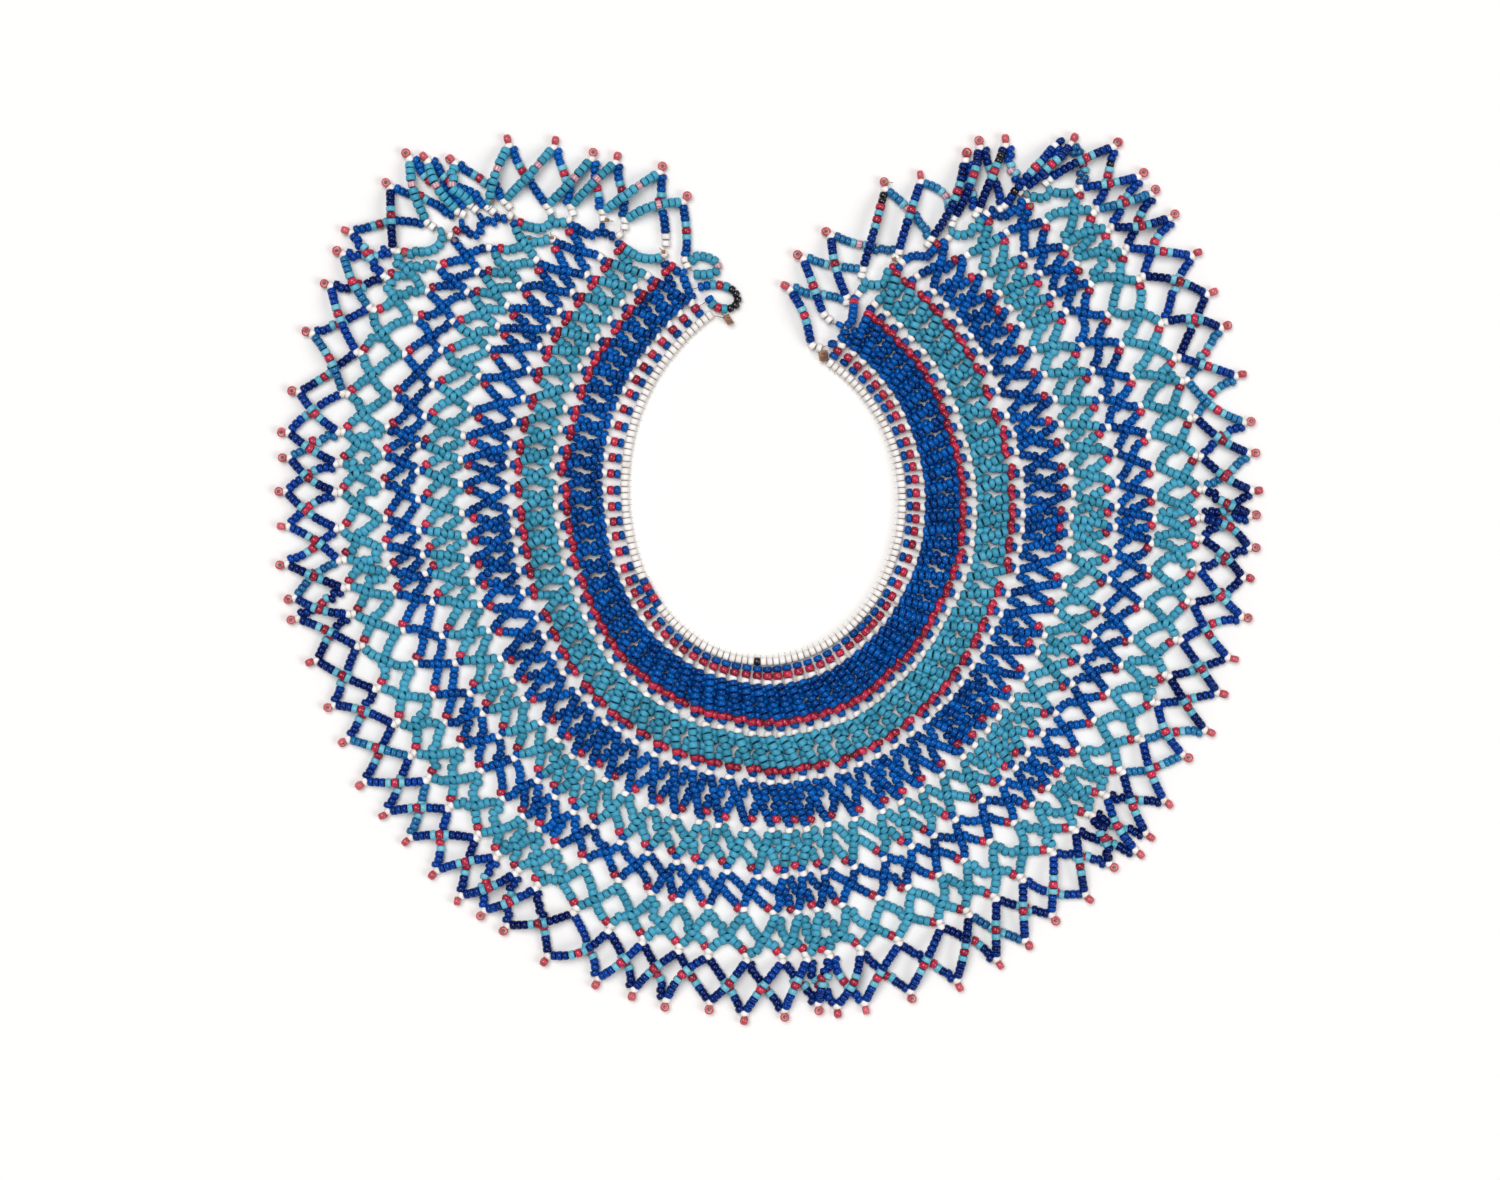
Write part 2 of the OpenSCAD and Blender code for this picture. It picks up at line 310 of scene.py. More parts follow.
for k in stems:
    stem = k + rows[-1]["twist"] + random.normal(0, fringe["stemUneven"])
    depth = fringe["tipDepth"] + random.normal(0, fringe["depthUneven"])
    ids = [bead(lain(stem, depth), low, "w", "outer_fringe", holds["fringeEnd"]),
           bead(lain(stem, depth + fringe["picot"]), low + fringe["tipRise"], "q", "outer_fringe",
                holds["picot"])]
    thread(ids)
    picots[k] = ids[0]
endPairs = {rightEnd["node"]: [], leftEnd["node"]: []}
outerEdge = (min(stems), max(stems))
for end, first in ((rightEnd, outerEdge[0]), (leftEnd, outerEdge[1])):
    side, node = end["side"], end["node"]
    pairSpots = np.array(end["pairs"]) - collar["boxMiddle"]
    picotSpots = np.array(end["picots"]) - collar["boxMiddle"]
    for j, spot in enumerate(pairSpots):
        k = first + side * (len(pairSpots) - j)
        out = picotSpots[min(j, len(picotSpots) - 1)] - spot
        out /= np.linalg.norm(out)
        ids = [bead(spot + out * reach, low, "w", node, holds["endPair"])
               for reach in (-fringe["halfPair"], fringe["halfPair"])]
        thread(ids)
        endPairs[node].append(ids[0])
        stems[k] = ids[1]
    for j, spot in enumerate(picotSpots):
        k = first + side * (len(pairSpots) - 1 - j)
        between = [beads["place"][stems[k + step]][:2] for step in (-1, 1) if k + step in stems]
        out = spot - np.mean(between, axis=0)
        out /= np.linalg.norm(out)
        ids = [bead(spot - out * fringe["picot"], low, "w", node, holds["endPicot"]),
               bead(spot, low + fringe["tipRise"], "q", node, holds["endPicot"])]
        thread(ids)
        picots[k] = ids[0]
for k in sorted(stems):
    for side in (-1, 1):
        if k + side not in picots:
            continue
        node, leg = "outer_fringe", fringe["leg"]
        if random.random() < fringe["petrolShare"]:
            leg = leg.replace("n", "s")
        for end, beyond in ((rightEnd, k < outerEdge[0]), (leftEnd, k > outerEdge[1])):
            if beyond:
                node = end["node"]
                corner = end is rightEnd and outerEdge[0] - k < fringe["cornerPicots"]
                away = "corner" if corner else "away"
                leg = end["legs"][away if side == end["side"] else "nearNeck"]
        layer, arch = (1, 0) if side < 0 else (2, fringe["arch"])
        string(stems[k], picots[k + side], leg, low, node, holds["leg"], layer, arch=arch,
               bow=fringe["bow"], spare=fringe["spare"])

# Neck string: white beads side by side along the neck edge, from stem to stem
neck = {"first": -0.1, "last": 69.6, "depth": -0.9, "height": 1.5, "pitch": 2.2, "lineSteps": 700}
neckLine = np.array([at(k, neck["depth"])
                     for k in np.linspace(neck["first"], neck["last"], neck["lineSteps"])])
neckCount = int(walked(neckLine)[-1] / neck["pitch"])
neckIds = [bead(spot, neck["height"], "w", "neck_string", holds["neckString"])
           for spot in spread(neckLine, neckCount)]
thread(neckIds)

# The two small loops at the left arm
loopHeight = 1.5
loops = {
    "upper_loop": {"letters": "tttttptttt", "route": [
        (-27, 111.4), (-24.4, 112.8), (-21, 113), (-18, 111.8), (-16.4, 109.8), (-17, 107.8),
        (-19.4, 106.8), (-22.2, 106.5), (-24.8, 106.8)]},
    "lower_loop": {"letters": "bbtrtkkkkktrtb", "route": [
        (-23.6, 102.1), (-21, 102.7), (-17.8, 103.1), (-14.2, 102.7), (-11, 101.2), (-9.3, 98.8),
        (-9.7, 96.3), (-11.6, 94.8), (-14.6, 94.6), (-17.4, 95.2), (-19.2, 97), (-19.8, 99.1)]},
}
for node, loop in loops.items():
    route = np.array(loop["route"]) - collar["boxMiddle"]
    thread([bead(spot, loopHeight, letter, node, holds["loop"])
            for letter, spot in zip(loop["letters"], spread(route, len(loop["letters"])))])

# The first row's last stem is closed by a strand that bulges into the gap between the arms
for start, end, row in edgeStrands:
    string(start, end, row["edge"], low, row["node"], bulge=row["edgeBulge"])

# Beads that differ from the pattern, as the maker had them to hand, and a mended stretch of the
# neck edge, first here
oddBeads = [
    ((-44.4, -0.7), "b"), ((-43.2, -3.0), "r"), ((-42.1, -5.2), "b"), ((-40.9, -7.4), "r"),
    ((-39.7, -9.2), "b"), ((-5.2, -28.7), "k"), ((77.7, 149.0), "k"), ((79.8, 144.5), "k"),
    ((81.9, 140.0), "k"), ((83.7, 135.8), "k"), ((40.3, 134.0), "k"), ((40.6, 131.3), "k"),
    ((115.4, 144.4), "k"), ((101.2, 152.9), "n"), ((38.2, 130.5), "r")]
spots = np.array(beads["place"])[:, :2]
for spot, letter in oddBeads:
    beads["letter"][np.linalg.norm(spots - spot, axis=1).argmin()] = letter

# Each pair of white beads at an end edge is sewn to the nearest bead of the rows
inRows = np.array([i for i, n in enumerate(beads["node"]) if "_row_" in n])
sewn = [(i, inRows[np.linalg.norm(spots[inRows] - spots[i], axis=1).argmin()])
        for hung in endPairs.values() for i in hung]
# and bare thread ties the neck string and the loops to their knots and to the net
knotMiddles = {node: np.sum(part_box(node), axis=0) / mm / 2 for node in ("left_knot", "right_knot")}
loopEnds = {node: [i for i, n in enumerate(beads["node"]) if n == node] for node in loops}
print("beads strung:", len(beads["place"]), "threads between them:", len(links))


# Settling: threads keep their length and beads push each other apart. Lengths are in
# millimetres, and the rest are shares of a move.
settling = {
    "rounds": 260,
    "pairsEvery": 8,        # rounds between two searches for neighbours
    "reach": 3.7,           # neighbours are closer than this
    "slack": 0.06,
    "lengthSpread": 0.03,   # how far beads differ in size, as shares
    "widthSpread": 0.02,
    "top": 4.5,             # the highest that a bead's middle may be
    "underTop": 2.0,        # and that of a bent strand in the tight rows
    "lift": 0.06,
    "straighten": 0.03,
    "straightenTop": 0.2,
    "topKeeps": 0.4,        # how much less a bead on top gives way
    "sewnReach": 2.5,
    "sewnShare": 0.15,
    "overshoot": 1.3,
}
place = np.array(beads["place"])
letters = np.array(beads["letter"])
hold = np.array(beads["hold"])
layer = np.array(beads["layer"])
links = np.array(links)
count = len(place)
length = np.array([beadKinds[c]["length"] for c in letters]) \
    * random.normal(1, settling["lengthSpread"], count)
width = np.array([beadKinds[c]["width"] for c in letters]) \
    * random.normal(1, settling["widthSpread"], count)


def summed(ids, values):
    return np.stack([np.bincount(ids, values[:, j], count) for j in range(3)], axis=1)


linkStarts = np.bincount(links[:, 0], minlength=count)
linkEnds = np.bincount(links[:, 1], minlength=count)


def holeAxes(place):
    # a bead's hole lies along the threads that enter and leave it
    d = place[links[:, 1]] - place[links[:, 0]]
    axes = summed(links[:, 0], d) / np.maximum(linkStarts, 1)[:, None]
    axes += summed(links[:, 1], d) / np.maximum(linkEnds, 1)[:, None]
    return axes / np.maximum(np.linalg.norm(axes, axis=1), 1e-6)[:, None]


def halfSize(length, width, c):
    # half of a bead's size along a direction; c is that direction's share along its hole
    return np.sqrt((length / 2 * c) ** 2 + (width / 2) ** 2 * (1 - c * c))


def nearPairs(place, reach):
    cell = np.floor(place[:, :2] / reach).astype(int)
    cell -= cell.min(axis=0)
    columns = cell[:, 1].max() + 2
    code = cell[:, 0] * columns + cell[:, 1]
    order = np.argsort(code, kind="stable")
    code = code[order]
    found = []
    for offset in (0, 1, columns - 1, columns, columns + 1):
        first = np.searchsorted(code, code + offset, "left")
        last = np.searchsorted(code, code + offset, "right")
        if offset == 0:
            first = np.arange(count) + 1
        for j in range((last - first).max()):
            inside = first + j < last
            found.append(np.stack([order[inside], order[first[inside] + j]], axis=1))
    found = np.concatenate(found)
    found.sort(axis=1)
    close = np.linalg.norm(place[found[:, 0]] - place[found[:, 1]], axis=1) < reach
    return found[close]


target = place.copy()
rest = (length[links[:, 0]] + length[links[:, 1]]) / 2
linkCodes = np.sort(links, axis=1) @ [count, 1]
sewn = np.array(sewn)
plain = (linkStarts == 1) & (linkEnds == 1)
# under the tight rows the bent strands stay down, so they show dark between the straight ones
tight = np.isin(beads["node"], ["blue_row_1", "turquoise_row_1"])
ceiling = np.where((layer == 1) & tight, settling["underTop"], settling["top"])
straighten = np.where((layer == 2) & tight, settling["straightenTop"], settling["straighten"])[:, None]
for turn in range(settling["rounds"]):
    if turn % settling["pairsEvery"] == 0:
        pairs = nearPairs(place, settling["reach"])
        pairs = pairs[~np.isin(pairs @ [count, 1], linkCodes)]
    axes = holeAxes(place)
    place[:, :2] += (target[:, :2] - place[:, :2]) * hold[:, None]
    place[:, 2] += (target[:, 2] - place[:, 2]) * settling["lift"]
    a, b = links.T
    nextTo = (summed(a, place[b]) + summed(b, place[a])) / np.maximum(linkStarts + linkEnds, 1)[:, None]
    place[plain] += (nextTo - place)[plain] * straighten[plain]
    move, touched = np.zeros_like(place), np.zeros(count)
    for a, b, kind in ((*links.T, "thread"), (*pairs.T, "contact"), (*sewn.T, "sewn")):
        d = place[b] - place[a]
        gap = np.maximum(np.linalg.norm(d, axis=1), 1e-3)
        way = d / gap[:, None]
        share = 0.5
        if kind == "contact":
            reach = [halfSize(length[i], width[i], (axes[i] * way).sum(axis=1)) for i in (a, b)]
            error = np.minimum(gap - reach[0] - reach[1], 0)
            crossed = layer[a] * layer[b] == 2
            share = share + settling["topKeeps"] * (layer[b] - layer[a]) * crossed
        elif kind == "thread":
            error = np.maximum(gap - rest - settling["slack"], 0) + np.minimum(gap - rest, 0)
        else:
            error = np.maximum(gap - settling["sewnReach"], 0)
            share = settling["sewnShare"]
        share = np.broadcast_to(share, len(a))[:, None]
        push = way * error[:, None]
        move += summed(a, push * share) - summed(b, push * (1 - share))
        hit = (np.abs(error) > 1e-4).astype(float)
        touched += np.bincount(a, hit, count) + np.bincount(b, hit, count)
    place += settling["overshoot"] * move / np.maximum(touched, 1)[:, None]
    place[:, 2] = np.clip(place[:, 2], halfSize(length, width, axes[:, 2]), ceiling)
axes = holeAxes(place)

# A picot's red bead is where its thread turns back, so its hole lies across the picot
# or faces up
picotBead = {"upShare": 0.45, "lean": 0.22, "out": 0.35}
picotIds = [i + 1 for i in picots.values()]
for i in picotIds:
    out = axes[i].copy()
    up = random.random() < picotBead["upShare"]
    axes[i] = (0, 0, 1) if up else np.cross(out, (0, 0, 1))
    axes[i] += random.normal(0, picotBead["lean"], 3)
    axes[i] /= np.linalg.norm(axes[i])
    place[i, :2] += out[:2] * picotBead["out"]
gaps = np.linalg.norm(place[links[:, 1]] - place[links[:, 0]], axis=1) - rest
print("net settled, widest thread gap %.2f mm" % gaps.max())


# One bead, modelled once: width and length 1
beadShape = {"sides": 10, "holeRadius": 0.14, "shoulderOut": 0.073, "shoulderIn": 0.72, "endOut": 0.12}


def editAll():
    bpy.ops.object.mode_set(mode="EDIT")
    bpy.ops.mesh.select_all(action="SELECT")


def pick(piece, wanted):
    # in edit mode, select the corners whose place passes a test
    shape = bmesh.from_edit_mesh(piece.data)
    for corner in shape.verts:
        corner.select = bool(wanted(corner.co))
    shape.select_flush_mode()
    bmesh.update_edit_mesh(piece.data)


def modelBead():
    # a hexagon with one corner outwards; its shoulders are pulled up to a barrel and its ends
    # opened, and it is spun round the hole
    ring = (0.5 - beadShape["holeRadius"]) / 2
    major = beadShape["holeRadius"] + ring
    endwards = ring * 0.3         # a corner further out along the hole than this is no middle one
    bpy.ops.mesh.primitive_circle_add(vertices=6, radius=ring, location=(major, 0, 0),
                                      rotation=(math.pi / 2, 0, 0))
    piece = bpy.context.object
    bpy.ops.object.transform_apply(location=True, rotation=True, scale=True)
    editAll()
    bpy.ops.transform.rotate(value=math.pi / 6, orient_axis="Y", center_override=(major, 0, 0))
    pick(piece, lambda co: co.x > major + ring * 0.2 and abs(co.z) > endwards)
    bpy.ops.transform.translate(value=(beadShape["shoulderOut"], 0, 0))
    bpy.ops.transform.resize(value=(1, 1, beadShape["shoulderIn"]), center_override=(major, 0, 0))
    pick(piece, lambda co: co.x < major and abs(co.z) > endwards)
    bpy.ops.transform.translate(value=(beadShape["endOut"], 0, 0))
    bpy.ops.mesh.select_all(action="SELECT")
    bpy.ops.mesh.spin(steps=beadShape["sides"], angle=2 * math.pi, center=(0, 0, 0), axis=(0, 0, 1))
    bpy.ops.mesh.select_all(action="SELECT")
    bpy.ops.mesh.remove_doubles(threshold=1e-4)
    bpy.ops.mesh.normals_make_consistent(inside=False)
    bpy.ops.object.mode_set(mode="OBJECT")
    return piece


pattern = modelBead()
corners = np.array([v.co for v in pattern.data.vertices])
corners[:, 2] *= 0.5 / np.abs(corners[:, 2]).max()
faces = np.array([list(p.vertices) for p in pattern.data.polygons])
bpy.data.objects.remove(pattern)
print("bead corners", len(corners), "faces", len(faces))


def sideways(ahead):
    # a level direction across each of some directions, or one across x where they stand upright
    helper = np.where(np.abs(ahead[..., 2:]) > 0.9, [1.0, 0, 0], [0, 0, 1.0])
    across = np.cross(ahead, helper)
    return across / np.linalg.norm(across, axis=-1)[..., None]


def frames(axes):
    # two directions across each bead's hole, turned at random about it
    across = sideways(axes)
    other = np.cross(axes, across)
    spin = random.uniform(0, 2 * math.pi, len(axes))[:, None]
    return np.cos(spin) * across + np.sin(spin) * other, np.cos(spin) * other - np.sin(spin) * across


across, other = frames(axes)
# A bead's tone is partly its strand's shade and partly its own, in the navy fringe mostly the first
tones = {"own": 0.7, "ownInFringe": 0.4, "strandMost": 1.9, "strandLess": 1.3, "limit": 2}
own = np.where(np.isin(letters, ["n", "s"]), tones["ownInFringe"], tones["own"])
tone = np.array(beads["shade"]) * (tones["strandMost"] - tones["strandLess"] * own)
tone = (tone + random.normal(0, 1, count) * own).clip(-tones["limit"], tones["limit"])
chance = random.random(count)
aboveFloor = {"beads": 0.01, "thread": 0.02}      # nothing dips into the floor


def newPiece(name, points, faces, finishes):
    # an object at the origin, from places in millimetres
    mesh = bpy.data.meshes.new(name)
    mesh.from_pydata((points * mm).tolist(), [], faces)
    for finish in finishes:
        mesh.materials.append(finish)
    mesh.polygons.foreach_set("use_smooth", np.ones(len(faces), dtype=bool))
    piece = bpy.data.objects.new(name, mesh)
    bpy.context.collection.objects.link(piece)
    return piece


def joinBeads(name, ids, kinds):
    size = len(corners)
    local = corners[None] * np.stack([width[ids], width[ids], length[ids]], axis=1)[:, None]
    points = place[ids][:, None] + local[..., :1] * across[ids][:, None] \
        + local[..., 1:2] * other[ids][:, None] + local[..., 2:] * axes[ids][:, None]
    points[..., 2] += np.maximum(aboveFloor["beads"] - points[..., 2].min(axis=1), 0)[:, None]
    quads = faces[None] + (np.arange(len(ids)) * size)[:, None, None]
    piece = newPiece(name, points.reshape(-1, 3), quads.reshape(-1, 4).tolist(),
                     [materials[kind] for kind in kinds])
    mesh = piece.data
    slots = np.array([kinds.index(letters[i]) for i in ids])
    mesh.polygons.foreach_set("material_index", np.repeat(slots, len(faces)))
    for key, values in (("tone", tone), ("chance", chance)):
        held = mesh.attributes.new(key, "FLOAT", "POINT")
        held.data.foreach_set("value", np.repeat(values[ids], size))
    mesh.attributes.new("inBead", "FLOAT_VECTOR", "POINT").data.foreach_set("vector", local.ravel())
    mesh.update()
    return piece


# Materials
def linear(hexColour):
    parts = [int(hexColour[i:i + 2], 16) / 255 for i in (1, 3, 5)]
    return [c / 12.92 if c <= 0.04045 else ((c + 0.055) / 1.055) ** 2.4 for c in parts] + [1]


def feed(tree, node, inputs):
    # an input, by name or number, takes a value, a colour or a link
    for key, value in inputs.items():
        if isinstance(value, bpy.types.NodeSocket):
            tree.links.new(value, node.inputs[key])
        else:
            node.inputs[key].default_value = linear(value) if isinstance(value, str) else value
    return node


def add(tree, kind, settings=None, inputs=None):
    node = tree.nodes.new(kind)
    for key, value in (settings or {}).items():
        setattr(node, key, value)
    return feed(tree, node, inputs or {})


def layered(tree, colour, layers):
    # colours laid one over the other: the pattern of each, where in it the colour begins and is
    # full, the colour, and how much it covers there
    for pattern, (begins, full), over, share in layers:
        amount = add(tree, "ShaderNodeMapRange", {"interpolation_type": "SMOOTHSTEP"}, {
            "Value": pattern, "From Min": begins, "From Max": full, "To Min": 0, "To Max": share})
        colour = add(tree, "ShaderNodeMix", {"data_type": "RGBA"}, {
            0: amount.outputs[0], 6: colour, 7: over}).outputs[2]
    return colour


def newMaterial(name):
    material = bpy.data.materials.new(name)
    material.use_nodes = True
    return material, material.node_tree, material.node_tree.nodes["Principled BSDF"]


# Seed bead glass: drawn from the furnace as a tube, cut, and tumbled hot until its ends are round.
# inBead is a point's place in its own bead in mm, z along the hole, so patterns follow the bead.
# What blue glass reflects is mostly other blue beads, which "reflected" stands for. With each
# colour that lies over others comes how much it covers. The darker colour at a bead's rounded ends
# is painted shade, where it meets its neighbours and round the hole.
glasses = {
    # opaque royal blue: even, deep and glossy, with faint streaks along the hole
    "b": {"name": "royalBlueGlass", "plain": "#0056aa", "deep": "#003172",
          "rim": ("#002462", 0.45), "streak": ("#0a5fc0", 0.35), "roughness": (0.08, 0.2),
          "coat": 0.12, "bump": 0.2, "reflected": "#a0d8ff"},
    # navy: the same cane with more cobalt, some strands nearly royal blue and some nearly black
    "n": {"name": "navyGlass", "plain": "#053a94", "deep": "#040c4a",
          "rim": ("#020a38", 0.55), "streak": ("#0c4cb4", 0.3), "roughness": (0.08, 0.22),
          "coat": 0.15, "bump": 0.16, "reflected": "#a0d8ff"},
    # opaque turquoise: chalkier glass, half matt from wear, greener and bluer beads mixed
    "t": {"name": "turquoiseGlass", "plain": "#439fbe", "deep": "#2a809c",
          "rim": ("#0f4a5c", 0.75), "streak": ("#66b4c4", 0.35), "roughness": (0.3, 0.5),
          "coat": 0.05, "bump": 0.48},
    # the same turquoise made paler, beside the red beads of the fringe
    "c": {"name": "paleTurquoiseGlass", "plain": "#74bcd2", "deep": "#4fa4bd",
          "rim": ("#1c6478", 0.6), "streak": ("#a8d8e2", 0.4), "roughness": (0.2, 0.4),
          "coat": 0.1, "bump": 0.4},
    # petrol blue: translucent enough for the light to lift it
    "s": {"name": "petrolBlueGlass", "plain": "#1c72a6", "deep": "#0c4c82",
          "rim": ("#06304e", 0.55), "streak": ("#3c94c0", 0.3), "roughness": (0.1, 0.25),
          "coat": 0.2, "bump": 0.2},
    # white-heart red: a thin ruby skin over white glass. Its rounded ends are painted darker, as
    # shade where beads meet, and the white heart shows pale round the hole
    "r": {"name": "whiteHeartRedGlass", "plain": "#c42a4a", "deep": "#82102a",
          "rim": ("#5c081a", 0.6), "streak": ("#dc5064", 0.4), "roughness": (0.08, 0.2),
          "coat": 0.35, "bump": 0.24, "heart": ("#d88c8c", 0.85)},
    # the picots' red beads: painted paler all over, standing in for the light that the white floor
    # throws up through them
    "q": {"name": "wornWhiteHeartRedGlass", "plain": "#d4646c", "deep": "#b23a48",
          "rim": ("#8c2838", 0.45), "streak": ("#dc5064", 0.4), "roughness": (0.08, 0.2),
          "coat": 0.35, "bump": 0.24, "heart": ("#e0a4a0", 0.85)},
    # chalk white: unglazed and dull, stained by thread wax and skin in patches; its ends are painted
    # brownish, as shade where beads meet
    "w": {"name": "chalkWhiteGlass", "plain": "#f8f7f6", "deep": "#ece7e2",
          "rim": ("#a88a74", 0.4), "streak": ("#c8ac9c", 0.3), "roughness": (0.35, 0.6),
          "coat": 0.1, "bump": 0.4},
    # black: near mirror gloss
    "k": {"name": "blackGlass", "plain": "#0a0b10", "deep": "#14161d",
          "rim": ("#050506", 0.5), "streak": ("#22252e", 0.4), "roughness": (0.06, 0.16),
          "coat": 0.6, "bump": 0.12},
    # pale pink with deeper pink stripes along the hole
    "p": {"name": "stripedPinkGlass", "plain": "#dcb6be", "deep": "#cba0ab",
          "rim": ("#94646c", 0.5), "streak": ("#b25f78", 0.75), "roughness": (0.16, 0.34),
          "coat": 0.4, "bump": 0.24, "stripes": 8},
}
# What all the glasses share. Zones are how far from the middle of the hole, in mm, the painted
# shade of the rounded end and the bare heart begin and are full; the other pairs are values of
# their patterns.
glassKind = {
    "ior": 1.52, "specular": 0.26, "coatRoughness": 0.06,
    "toneRange": (-1.8, 1.8), "rimZone": (1.53, 1.15), "heartZone": (1.05, 0.85),
    # streaks of the drawn cane, 1.3 to the mm across it and five times as long
    "streaksPerMm": 1.3, "streakStretch": 5, "streakRange": (0.5, 0.68), "stripeRange": (0.26, 0.34),
    # pits and flow marks of the hot tumbling, 3.2 to the mm
    "pitsPerMm": 3.2, "pitRange": (0.3, 0.7), "pitDepth": 0.1,
    "patternApart": 40,     # how far apart in the patterns beads may be
}


def glassMaterial(look):
    material, tree, shader = newMaterial(look["name"])
    inBead = add(tree, "ShaderNodeAttribute", {"attribute_name": "inBead"}).outputs["Vector"]
    tone, chance = (add(tree, "ShaderNodeAttribute", {"attribute_name": key}).outputs["Fac"]
                    for key in ("tone", "chance"))
    ownPart = add(tree, "ShaderNodeMath", {"operation": "MULTIPLY"}, {
        0: chance, 1: glassKind["patternApart"]}).outputs[0]
    drawn = add(tree, "ShaderNodeMapping", inputs={
        "Vector": inBead, "Scale": (1, 1, 1 / glassKind["streakStretch"])}).outputs[0]
    streaks, pits = (
        add(tree, "ShaderNodeTexNoise", {"noise_dimensions": "4D"}, {
            "Vector": where, "W": ownPart, "Scale": perMm, "Detail": detail,
            "Roughness": roughness}).outputs["Fac"]
        for where, perMm, detail, roughness in ((drawn, glassKind["streaksPerMm"], 2, 0.5),
                                                (inBead, glassKind["pitsPerMm"], 3, 0.6)))
    streakRange = glassKind["streakRange"]
    if "stripes" in look:
        turned = add(tree, "ShaderNodeTexGradient", {"gradient_type": "RADIAL"}, {"Vector": inBead})
        wave = add(tree, "ShaderNodeMath", {"operation": "MULTIPLY"}, {
            0: turned.outputs["Fac"], 1: look["stripes"]})
        streaks = add(tree, "ShaderNodeMath", {"operation": "PINGPONG"}, {
            0: wave.outputs[0], 1: 0.5}).outputs[0]
        streakRange = glassKind["stripeRange"]
    apart = add(tree, "ShaderNodeSeparateXYZ", inputs={"Vector": inBead}).outputs
    flat = add(tree, "ShaderNodeCombineXYZ", inputs={"X": apart[0], "Y": apart[1]})
    fromHole = add(tree, "ShaderNodeVectorMath", {"operation": "LENGTH"}, {
        0: flat.outputs[0]}).outputs["Value"]
    # the tone's deeper colour, the cane's streaks, and painted shade at the rounded ends where beads
    # meet
    layers = [(tone, glassKind["toneRange"], look["deep"], 1), (streaks, streakRange, *look["streak"]),
              (fromHole, glassKind["rimZone"], *look["rim"])]
    if "heart" in look:
        layers.append((fromHole, glassKind["heartZone"], *look["heart"]))
    rough = add(tree, "ShaderNodeMapRange", {"interpolation_type": "SMOOTHSTEP"}, {
        "Value": pits, "From Min": glassKind["pitRange"][0], "From Max": glassKind["pitRange"][1],
        "To Min": look["roughness"][0], "To Max": look["roughness"][1]})
    bump = add(tree, "ShaderNodeBump", inputs={
        "Strength": look["bump"], "Distance": glassKind["pitDepth"] * mm, "Height": pits})
    feed(tree, shader, {
        "Base Color": layered(tree, look["plain"], layers), "Roughness": rough.outputs[0],
        "Normal": bump.outputs[0], "IOR": glassKind["ior"], "Coat Weight": look["coat"],
        "Coat Roughness": glassKind["coatRoughness"], "Specular IOR Level": glassKind["specular"],
        "Specular Tint": look.get("reflected", "#ffffff")})
    return material


materials = {letter: glassMaterial(look) for letter, look in glasses.items()}

# Sewing thread: brown spun cotton, waxed, 0.3 mm thick. Two plies twist together every 0.6 mm,
# which shows as slanting light and dark bands and a fibrous, nearly matt surface. Both are too
# fine to show here: the bands are drawn 2 pi times as wide, and the fibres 0.9 to the mm.
threadLook = {"radius": 0.16, "plain": "#a07052", "deep": "#6c4631", "fibre": ("#cba687", 0.6),
              "twist": 0.6, "slant": (0.5, 0.4, 0.8), "fibresPerMm": 0.9, "fibreRange": (0.5, 0.75),
              "roughness": (0.55, 0.85), "sheen": 0.3, "bump": 0.5, "plyDepth": 0.08}


def threadMaterial():
    material, tree, shader = newMaterial("waxedCottonThread")
    where = add(tree, "ShaderNodeTexCoord").outputs["Object"]
    slanted = add(tree, "ShaderNodeMapping", inputs={
        "Vector": where, "Rotation": threadLook["slant"]}).outputs[0]
    plies = add(tree, "ShaderNodeTexWave", {"wave_type": "BANDS", "bands_direction": "X"}, {
        "Vector": slanted, "Scale": 1 / (20 * threadLook["twist"] * mm), "Distortion": 1.5,
        "Detail": 2}).outputs["Fac"]
    fibres = add(tree, "ShaderNodeTexNoise", inputs={
        "Vector": where, "Scale": threadLook["fibresPerMm"] / mm, "Detail": 3}).outputs["Fac"]
    twisted = add(tree, "ShaderNodeMix", {"data_type": "RGBA"}, {
        0: plies, 6: threadLook["plain"], 7: threadLook["deep"]}).outputs[2]
    colour = layered(tree, twisted, [(fibres, threadLook["fibreRange"], *threadLook["fibre"])])
    rough = add(tree, "ShaderNodeMapRange", {"interpolation_type": "SMOOTHSTEP"}, {
        "Value": fibres, "From Min": 0.3, "From Max": 0.7,
        "To Min": threadLook["roughness"][0], "To Max": threadLook["roughness"][1]})
    bump = add(tree, "ShaderNodeBump", inputs={
        "Strength": threadLook["bump"], "Distance": threadLook["plyDepth"] * mm, "Height": plies})
    feed(tree, shader, {"Base Color": colour, "Roughness": rough.outputs[0],
                        "Normal": bump.outputs[0], "Sheen Weight": threadLook["sheen"]})
    return material


threadFinish = threadMaterial()
print("materials made:", len(materials) + 1)


